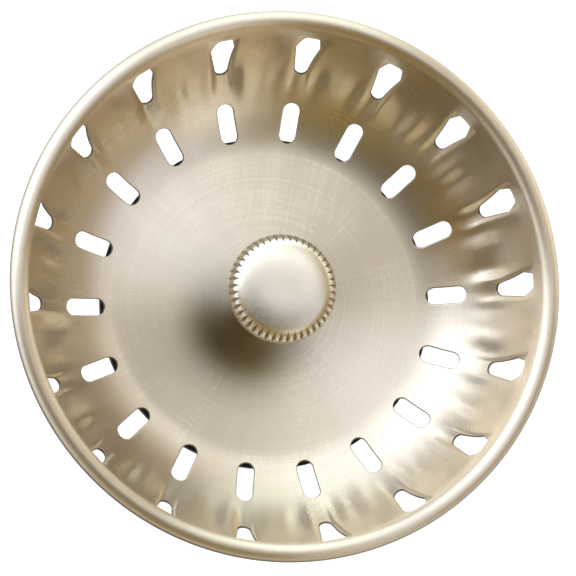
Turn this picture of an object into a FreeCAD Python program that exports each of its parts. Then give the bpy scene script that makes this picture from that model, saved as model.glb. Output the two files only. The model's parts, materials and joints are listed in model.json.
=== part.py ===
import FreeCAD, Part
import math
import os

import Sketcher
from FreeCAD import Placement, Rotation, Vector

# Kitchen-sink basket strainer: a pressed steel cup with a rolled rim and two rings of
# holes, a notched knob on a stem, and under the floor a rubber stopper clamped by a
# post whose two sprung balls snap into the hub of the drain.
# Millimetres. The origin is on the axis, in the plane on which the stopper seals, +Z up.

DRIVING_SIZES = {
    # Cup
    "rim_diameter": 80.0,
    "bead_diameter": 2.7,
    "sheet_thickness": 0.7,
    "bowl_depth": 20.5,
    "corner_radius": 15.0,
    "hole_count": 18,
    "slot_angle": 20.3,
    "slot_length": 6.2,
    "slot_width": 2.5,
    "keyhole_angle": 72.3,
    "keyhole_lower": 5.9,
    "keyhole_upper": 4.1,
    "keyhole_width": 3.6,
    "keyhole_top_width": 2.0,
    "keyhole_tip_radius": 1.0,
    "punch_start": 2.0,
    "punch_past": 1.5,
    # Knob
    "knob_diameter": 16.0,
    "knob_edge_diameter": 13.8,
    "knob_face_diameter": 10.8,
    "knob_drop": 2.9,
    "knob_crown": 0.5,
    "knob_skirt_height": 2.8,
    "knob_lower_bevel": 0.4,
    "knob_recess_diameter": 12.4,
    "knob_recess_depth": 1.6,
    "knob_hub_diameter": 7.8,
    "knob_hub_foot_diameter": 6.8,
    "knob_hub_length": 5.0,
    "notch_count": 45,
    "notch_width": 0.9,
    "notch_depth": 0.45,
    "notch_slope": 32.0,
    # Stem
    "stem_diameter": 5.2,
    "stem_spigot_diameter": 4.0,
    "stem_spigot_length": 4.6,
    "collar_diameter": 7.2,
    "collar_height": 1.5,
    "thread_diameter": 4.9,
    "thread_engagement": 8.0,
    # Washers and plate
    "floor_washer_diameter": 10.0,
    "floor_washer_thickness": 0.8,
    "plate_thickness": 1.0,
    "lock_washer_diameter": 9.2,
    "lock_washer_thickness": 1.2,
    "lock_washer_split": 0.8,
    "lock_washer_skew": 0.4,
    # Rubber stopper
    "stopper_height": 5.0,
    "stopper_show": 0.5,
    "stopper_edge_height": 1.2,
    "stopper_lip_height": 1.8,
    "seat_inset": 2.2,
    "seat_width": 2.0,
    "lip_slope": 1.5,
    # Ball-lock post
    "post_diameter": 9.4,
    "pin_length": 7.0,
    "hex_across_flats": 12.0,
    "hex_height": 3.0,
    "groove_width": 1.2,
    "groove_depth": 0.5,
    "ball_zone_length": 6.0,
    "tip_length": 1.5,
    "tip_diameter": 6.4,
    "ball_diameter": 3.2,
    "ball_protrusion": 0.52,
    "mouth_diameter": 2.8,
    "mouth_slope": 24.4,
    "wire_diameter": 0.36,
    "coil_diameter": 2.5,
    "coil_turns": 5,
    # Clearances
    "through_clearance": 0.2,
    "thread_clearance": 0.1,
    "spigot_clearance": 0.05,
    "socket_relief": 0.4,
    "ball_clearance": 0.05,
    "seat_clearance": 0.04,
    "coil_clearance": 0.05,
    "plate_clearance": 3.0,
}

# Sizes that follow from the driving ones, in an order that only looks back.
DERIVED_SIZES = {
    # Levels, upwards from the sealing plane
    "floor_top": "Dims.stopper_height + Dims.sheet_thickness",
    "rim_level": "floor_top + Dims.bowl_depth",
    "corner_level": "floor_top + Dims.corner_radius",
    "face_level": "rim_level - Dims.knob_drop",
    "edge_level": "face_level - Dims.knob_crown",
    "skirt_level": "edge_level - Dims.knob_skirt_height",
    "knob_bottom": "skirt_level - Dims.knob_lower_bevel",
    "recess_level": "knob_bottom + Dims.knob_recess_depth",
    "hub_foot": "recess_level - Dims.knob_hub_length",
    "spigot_top": "hub_foot + Dims.stem_spigot_length",
    "washer_top": "floor_top + Dims.floor_washer_thickness",
    "collar_top": "washer_top + Dims.collar_height",
    "plate_bottom": "Dims.stopper_lip_height - Dims.plate_thickness",
    "post_top": "plate_bottom - Dims.lock_washer_thickness",
    "hex_bottom": "post_top - Dims.hex_height",
    "thread_end": "post_top - Dims.thread_engagement",
    "pin_end": "hex_bottom - Dims.pin_length",
    "ball_zone_top": "pin_end - Dims.groove_width",
    "ball_level": "ball_zone_top - Dims.ball_zone_length / 2",
    "ball_zone_end": "ball_zone_top - Dims.ball_zone_length",
    "post_end": "ball_zone_end - Dims.tip_length",
    # Radii
    "bead_radius": "Dims.bead_diameter / 2",
    "curl_radius": "bead_radius - Dims.sheet_thickness",
    "wall_radius": "Dims.rim_diameter / 2 - Dims.bead_diameter",
    "bead_centre": "wall_radius + bead_radius",
    "floor_radius": "wall_radius - Dims.corner_radius",
    "through_radius": "Dims.thread_diameter / 2 + Dims.through_clearance",
    "slot_inner_radius": "floor_radius + Dims.corner_radius * sin(Dims.slot_angle * 1deg)"
                         " - Dims.slot_length / 2 * cos(Dims.slot_angle * 1deg)",
    "stopper_radius": "slot_inner_radius + Dims.stopper_show",
    "seat_outer": "stopper_radius - Dims.seat_inset",
    "seat_inner": "seat_outer - Dims.seat_width",
    "lip_inner": "seat_inner - Dims.lip_slope",
    "plate_radius": "lip_inner - Dims.plate_clearance",
    "shoulder_reach": "(Dims.knob_edge_diameter - Dims.knob_face_diameter) / 2",
    "shoulder_radius": "(shoulder_reach ^ 2 + Dims.knob_crown ^ 2) / (2 * Dims.knob_crown)",
    "skirt_reach": "(Dims.knob_diameter - Dims.knob_edge_diameter) / 2",
    "skirt_slant": "sqrt(skirt_reach ^ 2 + Dims.knob_skirt_height ^ 2)",
    "skirt_lean": "atan(skirt_reach / Dims.knob_skirt_height) / 1deg",
    "socket_radius": "Dims.stem_spigot_diameter / 2 + Dims.spigot_clearance",
    "post_radius": "Dims.post_diameter / 2",
    "post_socket_radius": "Dims.thread_diameter / 2 + Dims.thread_clearance",
    "hex_corner": "Dims.hex_across_flats / 2 / cos(30deg)",
    # Balls, their cross bore and the spring between them
    "ball_radius": "Dims.ball_diameter / 2",
    "ball_offset": "post_radius + Dims.ball_protrusion - ball_radius",
    "bore_radius": "ball_radius + Dims.ball_clearance",
    "mouth_radius": "Dims.mouth_diameter / 2",
    "mouth_normal": "ball_radius + Dims.seat_clearance",
    "mouth_start": "ball_offset + (mouth_normal - bore_radius * cos(Dims.mouth_slope * 1deg))"
                   " / sin(Dims.mouth_slope * 1deg)",
    "mouth_end": "ball_offset + (mouth_normal - mouth_radius * cos(Dims.mouth_slope * 1deg))"
                 " / sin(Dims.mouth_slope * 1deg)",
    "coil_reach": "ball_radius + Dims.wire_diameter / 2 + Dims.coil_clearance",
    "coil_end": "ball_offset - sqrt(coil_reach ^ 2 - (Dims.coil_diameter / 2) ^ 2)",
}

doc = FreeCAD.newDocument("SinkStrainer")


def make_sheet(name, cells):
    """A spreadsheet with one aliased cell a row."""
    sheet = doc.addObject("Spreadsheet::Sheet", name)
    for row, (alias, content) in enumerate(cells.items(), start=1):
        sheet.set(f"A{row}", alias)
        sheet.set(f"B{row}", content)
        sheet.setAlias(f"B{row}", alias)
    doc.recompute()
    return sheet


make_sheet("Dims", {alias: str(value) for alias, value in DRIVING_SIZES.items()})
derived = make_sheet("Fits", {alias: "=" + rule for alias, rule in DERIVED_SIZES.items()})


def value(expression):
    """The number that an expression stands for now."""
    result = derived.evalExpression(expression)
    return float(getattr(result, "Value", result))


def new_sketch(body, name, plane, lift=None):
    """An empty sketch on one of the body's origin planes, raised by an expression."""
    sketch = body.newObject("Sketcher::SketchObject", f"{body.Name}_{name}")
    support = next(f for f in body.Origin.OriginFeatures if f.Role == plane)
    sketch.AttachmentSupport = [(support, "")]
    sketch.MapMode = "FlatFace"
    if lift:
        sketch.setExpression("AttachmentOffset.Base.z", lift)
    return sketch


def tilted_sketch(body, name, x, z, axis, angle):
    """A sketch at (x, 0, z) whose XY plane is turned about an axis; x, z, angle are expressions."""
    sketch = new_sketch(body, name, "XY_Plane")
    sketch.AttachmentOffset = Placement(Vector(), Rotation(axis, value(angle)))
    sketch.setExpression("AttachmentOffset.Base.x", x)
    sketch.setExpression("AttachmentOffset.Base.z", z)
    sketch.setExpression("AttachmentOffset.Rotation.Angle", angle)
    return sketch


def bind(sketch, constraint, expression):
    """Adds a constraint whose size follows an expression."""
    index = sketch.addConstraint(constraint)
    sketch.setExpression(f"Constraints[{index}]", expression)


def place_point(sketch, geometry, end, x, y):
    """Fixes one end of a segment at (x, y), given as expressions."""
    for kind, expression, axis in (("DistanceX", x, -2), ("DistanceY", y, -1)):
        if expression == "0":
            sketch.addConstraint(Sketcher.Constraint("PointOnObject", geometry, end, axis))
        else:
            bind(sketch, Sketcher.Constraint(kind, -1, 1, geometry, end, value(expression)), expression)


def arc_between(start, end, radius, turn):
    """The arc under a half circle from start to end, turn +1 anticlockwise or -1 clockwise."""
    chord = end - start
    height = math.sqrt(radius ** 2 - (chord.Length / 2) ** 2)
    left = Vector(-chord.y, chord.x, 0).normalize()
    centre = (start + end) / 2 + left * height * turn
    first, last = (start, end) if turn > 0 else (end, start)
    angles = [math.atan2(p.y - centre.y, p.x - centre.x) for p in (first, last)]
    return Part.ArcOfCircle(Part.Circle(centre, Vector(0, 0, 1), radius), *angles)


def draw(sketch, outline):
    """A closed outline of corners (x, y), each with an optional (radius, turn) of the arc after it."""
    corners = [Vector(value(x), value(y), 0) for x, y, *_ in outline]
    joints = []
    for index, (x, y, *bend) in enumerate(outline):
        start, end = corners[index], corners[(index + 1) % len(outline)]
        if bend:
            radius, turn = bend
            segment = sketch.addGeometry(arc_between(start, end, value(radius), turn))
            ends = (1, 2) if turn > 0 else (2, 1)
        else:
            segment = sketch.addGeometry(Part.LineSegment(start, end))
            ends = (1, 2)
        joints.append((segment, *ends))
    for index, (segment, first, last) in enumerate(joints):
        following, near, _ = joints[(index + 1) % len(joints)]
        sketch.addConstraint(Sketcher.Constraint("Coincident", segment, last, following, near))
    for (segment, first, _), (x, y, *bend) in zip(joints, outline):
        place_point(sketch, segment, first, x, y)
        if bend:
            bind(sketch, Sketcher.Constraint("Radius", segment, value(bend[0])), bend[0])


def draw_circle(sketch, radius):
    """A circle about the sketch's origin."""
    circle = sketch.addGeometry(Part.Circle(Vector(), Vector(0, 0, 1), value(radius)))
    sketch.addConstraint(Sketcher.Constraint("Coincident", circle, 3, -1, 1))
    bind(sketch, Sketcher.Constraint("Radius", circle, value(radius)), radius)


def new_body(label):
    return doc.addObject("PartDesign::Body", label)


def revolve(body, outline):
    """Turns an outline of (radius, height) corners about the strainer's axis."""
    sketch = new_sketch(body, "profile", "XZ_Plane")
    draw(sketch, outline)
    turned = body.newObject("PartDesign::Revolution", f"{body.Name}_turned")
    turned.Profile = sketch
    turned.ReferenceAxis = (sketch, ["V_Axis"])
    turned.Angle = 360
    sketch.Visibility = False
    return turned


def pad(body, sketch, height):
    feature = body.newObject("PartDesign::Pad", f"{sketch.Name}_pad")
    feature.Profile = sketch
    feature.setExpression("Length", height)
    return feature


def pocket(body, sketch, depth):
    """Cuts a sketch's outline away, against the sketch's normal."""
    feature = body.newObject("PartDesign::Pocket", f"{sketch.Name}_cut")
    feature.Profile = sketch
    feature.setExpression("Length", depth)
    return feature


def repeat_round(body, feature, count):
    """Repeats a feature evenly about the strainer's axis."""
    pattern = body.newObject("PartDesign::PolarPattern", f"{feature.Name}_ring")
    pattern.Originals = [feature]
    axis = next(f for f in body.Origin.OriginFeatures if f.Role == "Z_Axis")
    pattern.Axis = (axis, [""])
    pattern.Angle = 360
    pattern.setExpression("Occurrences", count)
    body.Tip = pattern
    return pattern


def punched_ring(body, name, angle, outline):
    """A ring of holes punched square through the cup's corner, at an angle up its arc."""
    reach = "(Dims.corner_radius - Dims.punch_start)"
    sketch = tilted_sketch(
        body, name,
        f"Fits.floor_radius + {reach} * sin({angle} * 1deg)",
        f"Fits.corner_level - {reach} * cos({angle} * 1deg)",
        Vector(0, -1, 0), angle)
    draw(sketch, outline)
    cut = pocket(body, sketch, "Dims.punch_start + Dims.sheet_thickness + Dims.punch_past")
    doc.recompute()
    repeat_round(body, cut, "Dims.hole_count")


def make_basket():
    """Cup of one sheet: flat floor, round corner, upright wall, rim rolled three quarters round."""
    body = new_body("basket")
    revolve(body, [
        ("Fits.through_radius", "Fits.floor_top"),
        ("Fits.floor_radius", "Fits.floor_top", "Dims.corner_radius", 1),
        ("Fits.wall_radius", "Fits.corner_level"),
        ("Fits.wall_radius", "Fits.rim_level", "Fits.bead_radius", -1),
        ("Fits.bead_centre", "Fits.rim_level + Fits.bead_radius", "Fits.bead_radius", -1),
        ("Fits.bead_centre + Fits.bead_radius", "Fits.rim_level", "Fits.bead_radius", -1),
        ("Fits.bead_centre", "Fits.rim_level - Fits.bead_radius"),
        ("Fits.bead_centre", "Fits.rim_level - Fits.curl_radius", "Fits.curl_radius", 1),
        ("Fits.bead_centre + Fits.curl_radius", "Fits.rim_level", "Fits.curl_radius", 1),
        ("Fits.bead_centre", "Fits.rim_level + Fits.curl_radius", "Fits.curl_radius", 1),
        ("Fits.bead_centre - Fits.curl_radius", "Fits.rim_level"),
        ("Fits.bead_centre - Fits.curl_radius", "Fits.corner_level",
         "Dims.corner_radius + Dims.sheet_thickness", -1),
        ("Fits.floor_radius", "Dims.stopper_height"),
        ("Fits.through_radius", "Dims.stopper_height"),
    ])
    half_width, half_run = "Dims.slot_width / 2", "(Dims.slot_length - Dims.slot_width) / 2"
    end = "Dims.slot_length / 2"
    punched_ring(body, "slot", "Dims.slot_angle", [
        (f"-{half_run}", f"-{half_width}"),
        (half_run, f"-{half_width}", half_width, 1),
        (end, "0", half_width, 1),
        (half_run, half_width),
        (f"-{half_run}", half_width, half_width, 1),
        (f"-{end}", "0", half_width, 1),
    ])
    punched_ring(body, "keyhole", "Dims.keyhole_angle", keyhole_outline())
    return body


def keyhole_outline():
    """Shield-shaped hole: a round lower tip, sides flaring to the shoulders, a narrower flat top."""
    middle = "(Dims.keyhole_lower - Dims.keyhole_upper) / 2"
    top = f"({middle} + Dims.keyhole_upper)"
    bottom = f"({middle} - Dims.keyhole_lower)"
    tip = "Dims.keyhole_tip_radius"
    shoulder, half_top = "Dims.keyhole_width / 2", "Dims.keyhole_top_width / 2"
    return [
        (f"{bottom}", "0", tip, 1),
        (f"{bottom} + {tip}", f"-{tip}"),
        (middle, f"-{shoulder}"),
        (top, f"-{half_top}"),
        (top, half_top),
        (middle, shoulder),
        (f"{bottom} + {tip}", tip, tip, 1),
    ]


def make_knob():
    """Cast knob: crowned face, flared skirt with diamond notches, hub with a blind socket."""
    body = new_body("knob")
    hub, foot = "Dims.knob_hub_diameter / 2", "Dims.knob_hub_foot_diameter / 2"
    skirt, recess = "Dims.knob_diameter / 2", "Dims.knob_recess_diameter / 2"
    socket_top = "Fits.spigot_top + Dims.socket_relief"
    revolve(body, [
        ("0", "Fits.face_level"),
        ("0", socket_top),
        ("Fits.socket_radius", socket_top),
        ("Fits.socket_radius", "Fits.hub_foot"),
        (foot, "Fits.hub_foot"),
        (hub, "Fits.recess_level"),
        (recess, "Fits.recess_level"),
        (recess, "Fits.knob_bottom"),
        (f"{skirt} - Dims.knob_lower_bevel", "Fits.knob_bottom"),
        (skirt, "Fits.skirt_level"),
        ("Dims.knob_edge_diameter / 2", "Fits.edge_level", "Fits.shoulder_radius", 1),
        ("Dims.knob_face_diameter / 2", "Fits.face_level"),
    ])
    sketch = tilted_sketch(
        body, "notch",
        "(Dims.knob_edge_diameter + Dims.knob_diameter) / 4",
        "(Fits.edge_level + Fits.skirt_level) / 2",
        Vector(0, 1, 0), "90 - Fits.skirt_lean")
    half_length, half_width = "Fits.skirt_slant / 2", "Dims.notch_width / 2"
    draw(sketch, [
        (half_length, "0"),
        ("0", half_width),
        (f"-{half_length}", "0"),
        ("0", f"-{half_width}"),
    ])
    notch = pocket(body, sketch, "Dims.notch_depth")
    notch.setExpression("TaperAngle", "-Dims.notch_slope")
    doc.recompute()
    repeat_round(body, notch, "Dims.notch_count")
    return body


def make_stem():
    """Turned stem: spigot in the knob, slim shank, collar on the washer, threaded tail in the post."""
    body = new_body("stem")
    shank, collar = "Dims.stem_diameter / 2", "Dims.collar_diameter / 2"
    spigot, tail = "Dims.stem_spigot_diameter / 2", "Dims.thread_diameter / 2"
    revolve(body, [
        ("0", "Fits.thread_end"),
        (tail, "Fits.thread_end"),
        (tail, "Fits.washer_top"),
        (collar, "Fits.washer_top"),
        (collar, "Fits.collar_top"),
        (shank, "Fits.collar_top"),
        (shank, "Fits.hub_foot"),
        (spigot, "Fits.hub_foot"),
        (spigot, "Fits.spigot_top"),
        ("0", "Fits.spigot_top"),
    ])
    return body


def make_ring(label, outer_radius, bottom, thickness):
    """A flat ring round the stem's tail."""
    body = new_body(label)
    sketch = new_sketch(body, "ring", "XY_Plane", bottom)
    draw_circle(sketch, outer_radius)
    draw_circle(sketch, "Fits.through_radius")
    pad(body, sketch, thickness)
    return body


def make_stopper():
    """Rubber disc against the cup's floor, its lip running down to the sealing plane."""
    body = new_body("stopper")
    revolve(body, [
        ("Fits.through_radius", "Dims.stopper_height"),
        ("Fits.through_radius", "Dims.stopper_lip_height"),
        ("Fits.lip_inner", "Dims.stopper_lip_height"),
        ("Fits.seat_inner", "0"),
        ("Fits.seat_outer", "0"),
        ("Fits.stopper_radius", "Dims.stopper_height - Dims.stopper_edge_height"),
        ("Fits.stopper_radius", "Dims.stopper_height"),
    ])
    return body


def make_lock_washer():
    """Split spring washer, pressed flat, with its slanted gap."""
    body = make_ring("lock_washer", "Dims.lock_washer_diameter / 2", "Fits.post_top",
                     "Dims.lock_washer_thickness")
    sketch = new_sketch(body, "split", "YZ_Plane")
    half, skew = "Dims.lock_washer_split / 2", "Dims.lock_washer_skew"
    draw(sketch, [
        (f"-{half} - {skew}", "Fits.post_top"),
        (f"{half} - {skew}", "Fits.post_top"),
        (f"{half} + {skew}", "Fits.plate_bottom"),
        (f"-{half} + {skew}", "Fits.plate_bottom"),
    ])
    pocket(body, sketch, "Dims.lock_washer_diameter")
    return body


def make_lock_post():
    """Post with a hex head, a pin stretch for the drain's hub, a groove and a staked cross bore."""
    body = new_body("lock_post")
    head = new_sketch(body, "head", "XY_Plane", "Fits.hex_bottom")
    corners = [(f"Fits.hex_corner * cos({60 * side}deg)", f"Fits.hex_corner * sin({60 * side}deg)")
               for side in range(6)]
    draw(head, corners)
    draw_circle(head, "Fits.post_socket_radius")
    pad(body, head, "Dims.hex_height")
    tip = "Dims.tip_diameter / 2"
    groove = "Fits.post_radius - Dims.groove_depth"
    socket_end = "Fits.thread_end - Dims.socket_relief"
    revolve(body, [
        ("0", "Fits.post_end"),
        (tip, "Fits.post_end"),
        ("Fits.post_radius", "Fits.ball_zone_end"),
        ("Fits.post_radius", "Fits.ball_zone_top"),
        (groove, "Fits.ball_zone_top"),
        (groove, "Fits.pin_end"),
        ("Fits.post_radius", "Fits.pin_end"),
        ("Fits.post_radius", "Fits.hex_bottom"),
        ("Fits.post_socket_radius", "Fits.hex_bottom"),
        ("Fits.post_socket_radius", socket_end),
        ("0", socket_end),
    ])
    bore = new_sketch(body, "bore", "XZ_Plane")
    bore.setExpression("AttachmentOffset.Base.y", "Fits.ball_level")
    draw(bore, [
        ("-Fits.post_radius", "0"),
        ("Fits.post_radius", "0"),
        ("Fits.post_radius", "Fits.mouth_radius"),
        ("Fits.mouth_end", "Fits.mouth_radius"),
        ("Fits.mouth_start", "Fits.bore_radius"),
        ("-Fits.mouth_start", "Fits.bore_radius"),
        ("-Fits.mouth_end", "Fits.mouth_radius"),
        ("-Fits.post_radius", "Fits.mouth_radius"),
    ])
    drilled = body.newObject("PartDesign::Groove", "lock_post_drilled")
    drilled.Profile = bore
    drilled.ReferenceAxis = (bore, ["H_Axis"])
    drilled.Angle = 360
    return body


def make_ball(label, side):
    """A detent ball at rest against the staked mouth of the cross bore."""
    ball = doc.addObject("Part::Sphere", label)
    ball.setExpression("Radius", "Fits.ball_radius")
    ball.setExpression("Placement.Base.x", f"{side} * Fits.ball_offset")
    ball.setExpression("Placement.Base.z", "Fits.ball_level")
    return ball


def biarc(start, end, start_way, end_way):
    """Two arcs that join two points and leave and reach them along the given ways."""
    chord, ways = end - start, start_way + end_way
    square = 2 * (start_way.dot(end_way) - 1)
    half = chord.dot(ways)
    reach = (half - math.sqrt(half ** 2 - square * chord.dot(chord))) / square
    first_knee, last_knee = start + start_way * reach, end - end_way * reach
    joint = (first_knee + last_knee) / 2
    edges = []
    for a, knee, b in ((start, first_knee, joint), (joint, last_knee, end)):
        weight = (b - a).Length / 2 / reach
        middle = (a + knee * 2 * weight + b) / (2 + 2 * weight)
        edges.append(Part.Arc(a, middle, b).toShape())
    return edges


def make_spring():
    """Compression spring along the cross bore, one wire wound on arcs of a quarter turn."""
    radius, reach = value("Dims.coil_diameter / 2"), value("Fits.coil_end")
    wire, turns = value("Dims.wire_diameter"), int(value("Dims.coil_turns"))
    level = value("Fits.ball_level")
    rise = 2 * reach / (2 * math.pi * turns)

    def point(angle):
        return Vector(rise * angle - reach, radius * math.cos(angle), radius * math.sin(angle) + level)

    def way(angle):
        return Vector(rise, -radius * math.sin(angle), radius * math.cos(angle)).normalize()

    angles = [step * math.pi / 2 for step in range(4 * turns + 1)]
    edges = []
    for a, b in zip(angles, angles[1:]):
        edges += biarc(point(a), point(b), way(a), way(b))
    path = Part.Wire(edges)
    section = Part.Wire(Part.Circle(point(0), way(0), wire / 2).toShape())
    shell = Part.BRepOffsetAPI.MakePipeShell(path)
    shell.add(section)
    shell.build()
    shell.makeSolid()
    spring = doc.addObject("Part::Feature", "detent_spring")
    spring.Shape = shell.shape()
    spring.Placement = Placement()
    samples_a_turn = 48
    samples = [point(2 * math.pi * k / samples_a_turn) for k in range(samples_a_turn * turns + 1)]
    nearest = min((p - q).Length for i, p in enumerate(samples)
                  for q in samples[i + samples_a_turn // 2:])
    print(f"detent_spring: least gap to itself {nearest - wire:.2f} mm")
    return spring


pieces = [
    make_basket(),
    make_knob(),
    make_stem(),
    make_ring("floor_washer", "Dims.floor_washer_diameter / 2", "Fits.floor_top",
              "Dims.floor_washer_thickness"),
    make_stopper(),
    make_ring("stopper_backing_plate", "Fits.plate_radius", "Fits.plate_bottom", "Dims.plate_thickness"),
    make_lock_washer(),
    make_lock_post(),
    make_ball("detent_ball_left", -1),
    make_ball("detent_ball_right", 1),
    make_spring(),
]
doc.recompute()

for item in doc.Objects:
    faults = [state for state in item.State if state in ("Invalid", "Error")]
    if faults:
        raise RuntimeError(f"{item.Label} is {faults}")
for piece in pieces:
    if piece.Shape.isNull() or not piece.Shape.isValid() or len(piece.Shape.Solids) != 1:
        raise RuntimeError(f"{piece.Label} is not one valid solid")

os.makedirs("parts", exist_ok=True)
for piece in pieces:
    piece.Shape.exportStep(f"parts/{piece.Label}.step")
    print(f"{piece.Label}: {piece.Shape.Volume:.2f} mm3")
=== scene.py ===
import json
import math
import random
from collections import namedtuple

import bmesh
import bpy
import numpy as np
from mathutils import Matrix, Vector


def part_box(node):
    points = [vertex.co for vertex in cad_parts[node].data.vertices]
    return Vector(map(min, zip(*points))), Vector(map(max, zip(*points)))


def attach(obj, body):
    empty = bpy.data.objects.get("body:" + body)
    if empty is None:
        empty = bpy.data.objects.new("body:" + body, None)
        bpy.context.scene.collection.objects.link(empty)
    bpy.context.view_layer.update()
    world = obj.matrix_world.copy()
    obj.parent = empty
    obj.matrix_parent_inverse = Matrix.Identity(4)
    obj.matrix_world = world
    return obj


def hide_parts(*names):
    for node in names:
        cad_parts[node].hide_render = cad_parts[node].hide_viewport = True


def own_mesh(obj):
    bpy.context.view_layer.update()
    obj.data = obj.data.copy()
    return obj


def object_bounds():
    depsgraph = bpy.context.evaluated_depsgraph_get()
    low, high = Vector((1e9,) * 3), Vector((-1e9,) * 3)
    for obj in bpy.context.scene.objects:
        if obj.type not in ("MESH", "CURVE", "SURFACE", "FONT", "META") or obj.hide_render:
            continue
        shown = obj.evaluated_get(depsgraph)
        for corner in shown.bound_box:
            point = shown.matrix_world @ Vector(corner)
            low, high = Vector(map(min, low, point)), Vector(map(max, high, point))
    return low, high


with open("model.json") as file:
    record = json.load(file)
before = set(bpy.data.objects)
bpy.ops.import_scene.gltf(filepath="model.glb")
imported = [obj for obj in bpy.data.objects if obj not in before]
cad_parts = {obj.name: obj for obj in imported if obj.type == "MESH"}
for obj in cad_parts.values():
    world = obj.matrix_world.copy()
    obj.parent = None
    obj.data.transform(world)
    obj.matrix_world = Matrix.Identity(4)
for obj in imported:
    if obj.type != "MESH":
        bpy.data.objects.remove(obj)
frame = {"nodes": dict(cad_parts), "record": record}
cad_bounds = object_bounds()

MM = 0.001

# Cup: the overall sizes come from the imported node, the rest repeats the pressed sheet's sizes
BASKET_LOW, BASKET_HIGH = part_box("basket")
RIM_RADIUS = BASKET_HIGH.x
FLOOR_UNDERSIDE = BASKET_LOW.z
SHEET = 0.7 * MM
BEAD_RADIUS = 1.35 * MM
CORNER_RADIUS = 15.0 * MM
HUB_HOLE_RADIUS = 2.65 * MM
HOLE_COUNT = 18
SLOT_ANGLE = math.radians(20.3)
SLOT_LENGTH = 6.2 * MM
SLOT_WIDTH = 2.5 * MM
KEYHOLE_ANGLE = math.radians(72.3)
KEYHOLE_LOWER = 6.1 * MM
KEYHOLE_UPPER = 4.1 * MM
KEYHOLE_MIDDLE = 0.9 * MM
KEYHOLE_WIDTH = 3.6 * MM
KEYHOLE_TOP_WIDTH = 2.0 * MM
KEYHOLE_TIP_WIDTH = 1.67 * MM
KEYHOLE_TIP_ROUND = 0.97 * MM
KEYHOLE_SHOULDER_ROUND = 1.8 * MM
KEYHOLE_TOP_ROUND = 0.65 * MM
EDGE_ROUND = 0.12 * MM
HOLE_EDGE = 0.26 * MM
COIN_SHARE = 0.25
TROUGH_DEPTH = 0.12 * MM
TROUGH_SPREAD = 0.35
TROUGH_FLANK = 0.7 * MM
TROUGH_MARGIN = -0.2 * MM
TROUGH_TIP_WIDTH = 1.1 * MM
TROUGH_ABOVE = 1.6 * MM
TROUGH_BELOW = 3.8 * MM
WAVE_HEIGHT = 0.035 * MM
WAVE_FADE = 3.0 * MM
PUCKER_HEIGHT = 0.065 * MM
PUCKER_REACH = 3.0 * MM
# Rim bead: its crown rougher and darkened to dim its highlight (painted shade), its outer side painted dark
# as a shaded outline (painted shade)
BEAD_SATIN_AND_SHADE = 0.15
BEAD_SATIN_AND_SHADE_START = math.radians(40)
BEAD_OUTLINE_SHADE_START = math.radians(135)
BEAD_OUTLINE_SHADE_END = math.radians(168)

FLOOR_TOP = FLOOR_UNDERSIDE + SHEET
RIM_LEVEL = BASKET_HIGH.z - BEAD_RADIUS
WALL_RADIUS = RIM_RADIUS - 2 * BEAD_RADIUS
FLOOR_RADIUS = WALL_RADIUS - CORNER_RADIUS
CORNER_LEVEL = FLOOR_TOP + CORNER_RADIUS
BEAD_CENTRE = WALL_RADIUS + BEAD_RADIUS
SECTOR = 2 * math.pi / HOLE_COUNT

# Distances along the sheet's inside face, from the hub hole outwards and up
CORNER_START = FLOOR_RADIUS - HUB_HOLE_RADIUS
CORNER_END = CORNER_START + CORNER_RADIUS * math.pi / 2
WALL_END = CORNER_END + RIM_LEVEL - CORNER_LEVEL
SHEET_END = WALL_END + BEAD_RADIUS * 1.5 * math.pi

# Mesh steps of one sector of the cup
COLUMNS = 36
PATCH_ROWS = 28
PATCH_RINGS = 12
FLOOR_ROWS = 11
BEAD_ROWS = 28
PATCH_MARGIN = 1.9 * MM
PATCH_SHIFT = 0.4 * MM
RING_CROWDING = 1.8
EDGE_SEARCH_STEPS = 30
FILLET_LIMIT = 0.999
MERGE_DISTANCE = 0.002 * MM
TROUGH_SEED = 18

# Waves of the wall and puckers at the keyholes' tips: count round the cup, phase, change of phase for
# each metre along the sheet, and share
Ripple = namedtuple("Ripple", "count phase slant share")
STANDING_WAVE = Ripple(7, 0.6, 260, 1.0)
WALL_RIPPLES = (Ripple(13, 2.1, 180, 1.0), Ripple(23, 0.0, -330, 0.7))
PUCKERS = (Ripple(31, 1.3, 0, 1.0), Ripple(47, -0.4, 0, 0.6), Ripple(71, 0.0, 150, 0.4))

# Knob: face, rounded edge with diamond notches, recess and hub underneath
KNOB_LOW, KNOB_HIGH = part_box("knob")
KNOB_RADIUS = KNOB_HIGH.x
KNOB_FACE_RADIUS = 6.2 * MM
KNOB_CROWN = 0.4 * MM
KNOB_CROWN_POWER = 4
KNOB_FACE_STEPS = 16
KNOB_SKIRT_DEPTH = 3.3 * MM
KNOB_LOWER_BEVEL = 0.4 * MM
KNOB_RECESS_RADIUS = 6.2 * MM
KNOB_RECESS_DEPTH = 1.6 * MM
KNOB_HUB_RADIUS = 3.9 * MM
KNOB_HUB_FOOT_RADIUS = 3.4 * MM
KNOB_SOCKET_RADIUS = 2.05 * MM
KNOB_SOCKET_DEPTH = 5.0 * MM
KNOB_INNER_ROUND = 0.35 * MM
NOTCH_COUNT = 45
NOTCH_WIDTH = 0.8 * MM
NOTCH_DEPTH = 0.55 * MM
NOTCH_STEPS = 11
NOTCH_MIDDLE = 14
SKIRT_ROWS = 30
NOTCH_LEAST = 1e-9
# Darkening in the notches (grime and painted shade) and under the knob (painted shade), both with extra
# roughness
NOTCH_GRIME_AND_SHADE = 0.4
KNOB_UNDERSIDE_SHADE = 1.0

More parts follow.
